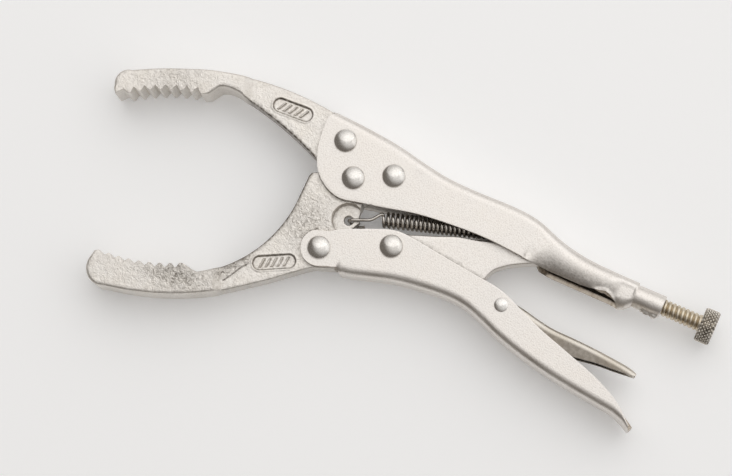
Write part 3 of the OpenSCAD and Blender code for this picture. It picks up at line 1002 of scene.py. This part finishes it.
def moving_coarse(p):
    """How rough the forged skin is: most on the pad, beside the crease and below the eye."""
    pad = np.exp(-((np.hypot(*((p - [-44, -54]) * [0.5, 1]).T) / 6) ** 2))
    flow = 0.55 * np.exp(-((away(p, [-9, -20]) / 9) ** 2))
    return np.max([pad, flow, on_line(p, CREASE + [-2.2, 1.4], 2)], axis=0)


def fixed_painted_shade(p, rim):
    """Where painted shade darkens the upper jaw."""
    return jaw_painted_shade(p, rim, FIXED_RECESS, FIXED_STEP, FIXED_INNER)


def moving_painted_shade(p, rim):
    """Where painted shade darkens the lower jaw: the crease, the shadow of the handle's nose and
    the eye's pocket wall.
    """
    lines = jaw_painted_shade(p, rim, MOVING_RECESS, MOVING_STEP, MOVING_INNER)
    nose = 0.8 * on_line(p, NOSE_LINE, 0.3)
    pocket = 0.7 * np.exp(-(((away(p, SPRING_EYE) - 5.5) / 0.22) ** 2))
    return np.max([lines, on_line(p, CREASE, 0.24), nose, pocket], axis=0)


for node, body, build, painted_shade, coarse in (
    ("fixed_jaw", "root", fixed_jaw, fixed_painted_shade, fixed_coarse),
    ("moving_jaw", "jaw", moving_jaw, moving_painted_shade, moving_coarse),
):
    shape, rim = build()
    marks = {"painted_shade": lambda p: painted_shade(p[:, :2], rim), "coarse": lambda p: coarse(p[:, :2])}
    piece(node + "_forging", shape, body, [node], FORGED, marks=marks)

# ---------------------------------------------------------------- link and lever

LINK_LINE = LOWER_EDGE[(LOWER_EDGE[:, 0] > 24) & (LOWER_EDGE[:, 0] < 66)] + [0, 0.3]


def toggle_link():
    """A plate with a boss at the lower handle, and a round end that bears on the screw."""
    outline = join(
        arc(LINK_PIVOT, 5.6, 292, 118, 30),
        smooth(
            [(26, -9.9), (34.6, -6.6), (41, -4), (49, -2), (57, 0.8), (65, 3.6), (69.6, 4.5)],
            6,
        ),
        arc((71.4, 1.7), 2.9, 100, -95, 24),
        smooth(
            [(67.9, -2.6), (63, -5.2), (59.5, -7.6), (57.2, -9.8), (55.9, -12.4), (55.2, -15)],
            6,
        ),
        [(54.3, -17)],
        smooth([(51.5, -18), (45, -19.2), (36, -20.9), (28, -21.8)], 6),
    )

    def height(p):
        return 3.8 + 0.6 * step01(away(p, LINK_PIVOT), 5.5, 5.1)

    def edge_r(p):
        return np.full(len(p), 0.55)

    extra = [circle(LINK_PIVOT, r, 56) for r in (5.0, 5.15, 5.3)]
    extra.append(beside(LINK_LINE, LINE_ROWS))
    holes = [circle(LINK_PIVOT, RIVET_R + SLIP)]
    return forging(outline, holes, height, edge_r, grid=1.4, step=1.0, extra=extra)


def link_painted_shade(p):
    """A line of painted shadow along the lower handle's edge."""
    return 0.75 * on_line(p[:, :2], LINK_LINE, 0.34)


piece(
    "toggle_link_plate", toggle_link(), "link", ["toggle_link"],
    NICKEL, marks={"painted_shade": link_painted_shade},
)

LEVER_BACK = smooth(
    [
        (51, -20.6), (55, -19.2), (60, -17.6), (66, -17.2), (72, -17.9), (78, -19.2),
        (84, -20.1), (92, -20.3), (100, -20.7), (108, -21.4), (112.8, -22), (115.6, -23),
    ],
    6,
)
LEVER_BELLY = smooth(
    [
        (51, -22.4), (56, -22.8), (62, -23.9), (70, -25.6), (78, -27.3), (86, -27.5),
        (94, -26.3), (102, -25.1), (108, -24.7), (115.4, -24),
    ],
    6,
)


def lever_sheet():
    """A narrow channel that opens downwards and tapers to its tail."""
    ts = upright(LEVER_BACK, 51, 115.6, 110)
    bs = upright(LEVER_BELLY, 51, 115.4, 110)
    return loft(
        [
            section(t, b, 4.0, min(1.7, 0.8 * math.dist(t, b)), n_cheek=14, n_bend=7, n_web=6)
            for t, b in zip(ts, bs)
        ]
    )


def lever_painted_shade(p):
    """Painted shade: its back is left clear, and its cheeks behind the rivet are darkened,
    standing in for a dark reflection.
    """
    below = np.interp(p[:, 0], *LEVER_BACK.T) - p[:, 1]
    return 0.8 * step01(below, 1.3, 2.4) * step01(p[:, 0], 70, 82)


sheet_piece(
    "release_lever_sheet", lever_sheet(), "lever", "release_lever",
    LEVER_SHADED, LEVER_SHEET, 0.22, {"painted_shade": lever_painted_shade},
)

# ---------------------------------------------------------------- rivets


def rivet(at, r, h, shank):
    """A rivet with two heads, each a low dome on a short straight side."""
    side = 0.3 * h
    cap = h - side
    ball = (r * r + cap * cap) / (2 * cap)
    half = [(-0.4, shank), (-0.02, shank), (-0.02, r * 0.985)]
    half += [(side * 0.5, r), (side * 0.9, r * 0.998)]
    for rr in r * np.linspace(0.98, 0.0, 24):
        half.append((h - ball + math.sqrt(ball * ball - rr * rr), max(rr, 0.02)))
    t = around(64)
    sections = []
    for way, rows in ((-1, half[::-1]), (1, half)):
        for z, rr in rows:
            x, y = at[0] + rr * np.cos(t), at[1] + rr * np.sin(t)
            sections.append(np.column_stack([x, y, np.full(len(t), way * (HALF_W + z))]))
    return loft(sections, close=True, caps=True)


# A head's radius and height, and the shank's radius
BIG, SMALL = (4.0, 2.2, RIVET_R), (2.4, 0.9, 1.2)
for name, at, body, sizes in (
    ("fixed_jaw_front_rivet", FRONT_RIVET, "root", BIG),
    ("fixed_jaw_rear_rivet", REAR_RIVET, "root", BIG),
    ("jaw_pivot_rivet", JAW_PIVOT, "root", BIG),
    ("handle_pivot_rivet", HANDLE_PIVOT, "handle", BIG),
    ("link_rivet", LINK_PIVOT, "handle", BIG),
    ("release_lever_rivet", LEVER_PIVOT, "handle", SMALL),
):
    shape = rivet(at, *sizes)
    piece(name + "_headed", shape, body, [name], POLISHED, 30)

# ---------------------------------------------------------------- screw

SCREW_TIP_X, HEAD_X, HEAD_LEN, HEAD_R = 77.9, 128.5, 5.3, 6.1
SCREW_R, PITCH, THREAD_DEPTH = 2.95, 1.6, 0.74
KNURLS, KNURL_DEPTH, KNURL_HALF = 26, 0.6, 0.36


def screw_shank():
    """A helical thread with a blunt tip, which thins out towards the head."""
    a = around(48)
    end = HEAD_X - 0.02
    sections = []
    for x in np.append(np.arange(SCREW_TIP_X, end - 0.03, PITCH / 16), end):
        phase = ((x - SCREW_TIP_X) / PITCH + a / (2 * math.pi)) % 1.0
        depth = THREAD_DEPTH * (np.abs(phase - 0.5) * 2) ** 2.6
        full = 0.25 + 0.75 * eased(x, HEAD_X - 0.1, HEAD_X - 1.2)
        blunt = 0.7 * (1 - eased(x, SCREW_TIP_X, SCREW_TIP_X + 1.4))
        sections.append(ring_x(x, SCREW_R - depth * full - blunt, a))
    return loft(sections, close=True, caps=True)


def screw_head():
    """A drum with a diamond knurl, chamfered ends and a shallow dish in its outer face."""
    a = around(12 * KNURLS)
    rows = [(0, 2.6), (0, HEAD_R - 0.75)]
    pitch_x = 2 * math.pi * HEAD_R / KNURLS
    for x in np.linspace(0.1, HEAD_LEN - 0.1, 44):
        groove = np.zeros(len(a))
        for way in (1, -1):
            phase = (a / (2 * math.pi) * KNURLS + way * x / pitch_x) % 1
            groove = np.maximum(groove, 1 - np.abs(phase - 0.5) / KNURL_HALF)
        chamfer = 0.5 * (1 - eased(min(x, HEAD_LEN - x), 0.0, 0.7))
        rows.append((x, HEAD_R - KNURL_DEPTH * groove * (1 - chamfer) - chamfer))
    rows += [(HEAD_LEN, HEAD_R - 0.8), (HEAD_LEN, HEAD_R - 1.2)]
    rows += [(HEAD_LEN - 0.12, HEAD_R - 1.5), (HEAD_LEN - 0.12, 0.4)]
    sections = [ring_x(HEAD_X + x, r, a) for x, r in rows]
    return loft(sections, close=True, caps=True)


def knurl_painted_shade(p):
    """Painted shade in the knurl's grooves."""
    sunk = HEAD_R - np.hypot(p[:, 1] - SCREW_Y, p[:, 2])
    return 0.8 * step01(sunk, 0.1, 0.4) * (sunk < KNURL_DEPTH + 0.12)


shape = screw_shank()
piece("screw_shank_thread", shape, "screw", ["screw_shank"], BRASSY, 60)
piece(
    "screw_head_knurled", screw_head(), "screw_knob", ["screw_head"],
    KNURLED, 28, {"painted_shade": knurl_painted_shade},
)

# ---------------------------------------------------------------- spring

# The slope of the spring's axis with the jaws fully open, and its coil's start, length, radius,
# wire radius and turns
SPRING_ANGLE = math.radians(16.8)
COIL_START = np.array([14.75, -8.41, 0.0])
COIL_LEN, COIL_R, WIRE_R, COILS = 36.4, 2.9, 0.55, 23
SPRING_AXIS = np.array([math.cos(SPRING_ANGLE), math.sin(SPRING_ANGLE), 0])


def spring():
    """An open coil with a hook through the moving jaw's eye and one through the tab."""
    ex = SPRING_AXIS
    ey = np.array([-ex[1], ex[0], 0])
    ez = np.array([0, 0, 1.0])
    t = np.linspace(0, 1, COILS * 26)
    # the turns in the middle lie a little closer than the others
    pitch = t + 0.012 * np.sin(2 * math.pi * t)
    turn = 2 * math.pi * COILS * t + math.radians(60)
    circling = np.outer(np.cos(turn), ey) + np.outer(np.sin(turn), ez)
    body = COIL_START + np.outer(pitch * COIL_LEN, ex) + (COIL_R - WIRE_R) * circling
    eye, tab = np.array([*SPRING_EYE, 0]), np.array([*TAB_HOLE, 0])
    front_hook = eye + [
        (5.6, 0.7, -2.2), (3.6, -0.3, -2.5), (1.8, -0.2, -2.5), (0.4, 0, -1.9), (-0.1, 0.1, 0),
        (0.5, 0.3, 2), (1.8, 0.9, 2.5), (4.6, 2.1, 2.6), (7.2, 3.4, 2.5),
    ]
    rear_hook = tab + [
        (-0.5, 0.2, 1.5), (0.3, 0, 1.3), (0.7, -0.2, 0), (0.4, -0.2, -1.4), (-0.8, 0.6, -1.6),
    ]
    first, last = body[0], body[-1]
    front = smooth([*front_hook, first - ex * 0.9 + [0, 0.25, 0.4], first], 8)
    rear = smooth([last, last + ex * 0.9, last + ex * 2.0 + [0, 0.2, 0.5], *rear_hook], 8)
    return sweep(np.vstack([front[:-1], body, rear[1:]]), WIRE_R, 12)


shape = spring()
coil = piece("tension_spring_coil", shape, "root", ["tension_spring"], WIRE)
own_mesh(coil)

# ---------------------------------------------------------------- floor, light, camera

floor_mesh = bpy.data.meshes.new("floor")
floor_mesh.from_pydata([(-4, -4, 0), (4, -4, 0), (4, 4, 0), (-4, 4, 0)], [], [(0, 1, 2, 3)])
floor = add_object("floor", floor_mesh)
paper = bpy.data.materials.new("paper")
paper.use_nodes = True
for key, value in (
    ("Base Color", (0.93, 0.93, 0.93, 1)),
    ("Roughness", 0.9),
    ("Specular IOR Level", 0.1),
    ("Emission Color", (1, 1, 1, 1)),
    ("Emission Strength", 0.14),
):
    paper.node_tree.nodes["Principled BSDF"].inputs[key].default_value = value
floor_mesh.materials.append(paper)

# The room: bright above and behind the tool, darker in front of it, and even to the camera
world = bpy.data.worlds.new("studio")
bpy.context.scene.world = world
world.use_nodes = True
wt = world.node_tree
background = wt.nodes["Background"]
coord = wt.nodes.new("ShaderNodeTexCoord")
split = wt.nodes.new("ShaderNodeVectorMath")
split.operation = "DOT_PRODUCT"
split.inputs[1].default_value = (0.28, 0.34, 0.898)
shade = wt.nodes.new("ShaderNodeValToRGB")
dark, bright = shade.color_ramp.elements
dark.position, dark.color = 0.36, (0.17, 0.155, 0.14, 1)
bright.position, bright.color = 0.9, (0.88, 0.87, 0.86, 1)
path_node = wt.nodes.new("ShaderNodeLightPath")
pick = wt.nodes.new("ShaderNodeMix")
pick.data_type = "RGBA"
pick.inputs["B"].default_value = (0.9, 0.9, 0.9, 1)
wt.links.new(coord.outputs["Generated"], split.inputs[0])
wt.links.new(split.outputs["Value"], shade.inputs["Fac"])
wt.links.new(shade.outputs["Color"], pick.inputs["A"])
wt.links.new(path_node.outputs["Is Camera Ray"], pick.inputs["Factor"])
wt.links.new(pick.outputs["Result"], background.inputs["Color"])
background.inputs["Strength"].default_value = 1.0


def softbox(name, at, size, power):
    """A round soft light that faces the tool."""
    light = bpy.data.lights.new(name, "AREA")
    light.energy = power
    light.size = size
    light.shape = "DISK"
    obj = add_object(name, light)
    obj.location = at
    obj.rotation_euler = (-Vector(at)).to_track_quat("-Z", "Y").to_euler()


softbox("key", (-0.3, 0.85, 0.9), 2.6, 8)
softbox("side", (1.1, 0.6, 0.45), 1.5, 2)
bpy.context.scene.view_settings.view_transform = "Standard"

camera_data = bpy.data.cameras.new("camera")
camera_data.lens = 114
camera_data.sensor_width = 36
camera_data.clip_start = 0.01
camera = add_object("camera", camera_data)
camera.location = (0.0947, -0.0906, 0.7986)
back = Vector((0.1297, -0.1231, 0.9839)).normalized()
up = Vector((-0.3935, 0.9044, 0.1650))
right = up.cross(back).normalized()
up = back.cross(right)
turn = Matrix((right, up, back)).transposed()
camera.rotation_euler = turn.to_euler()
bpy.context.scene.camera = camera
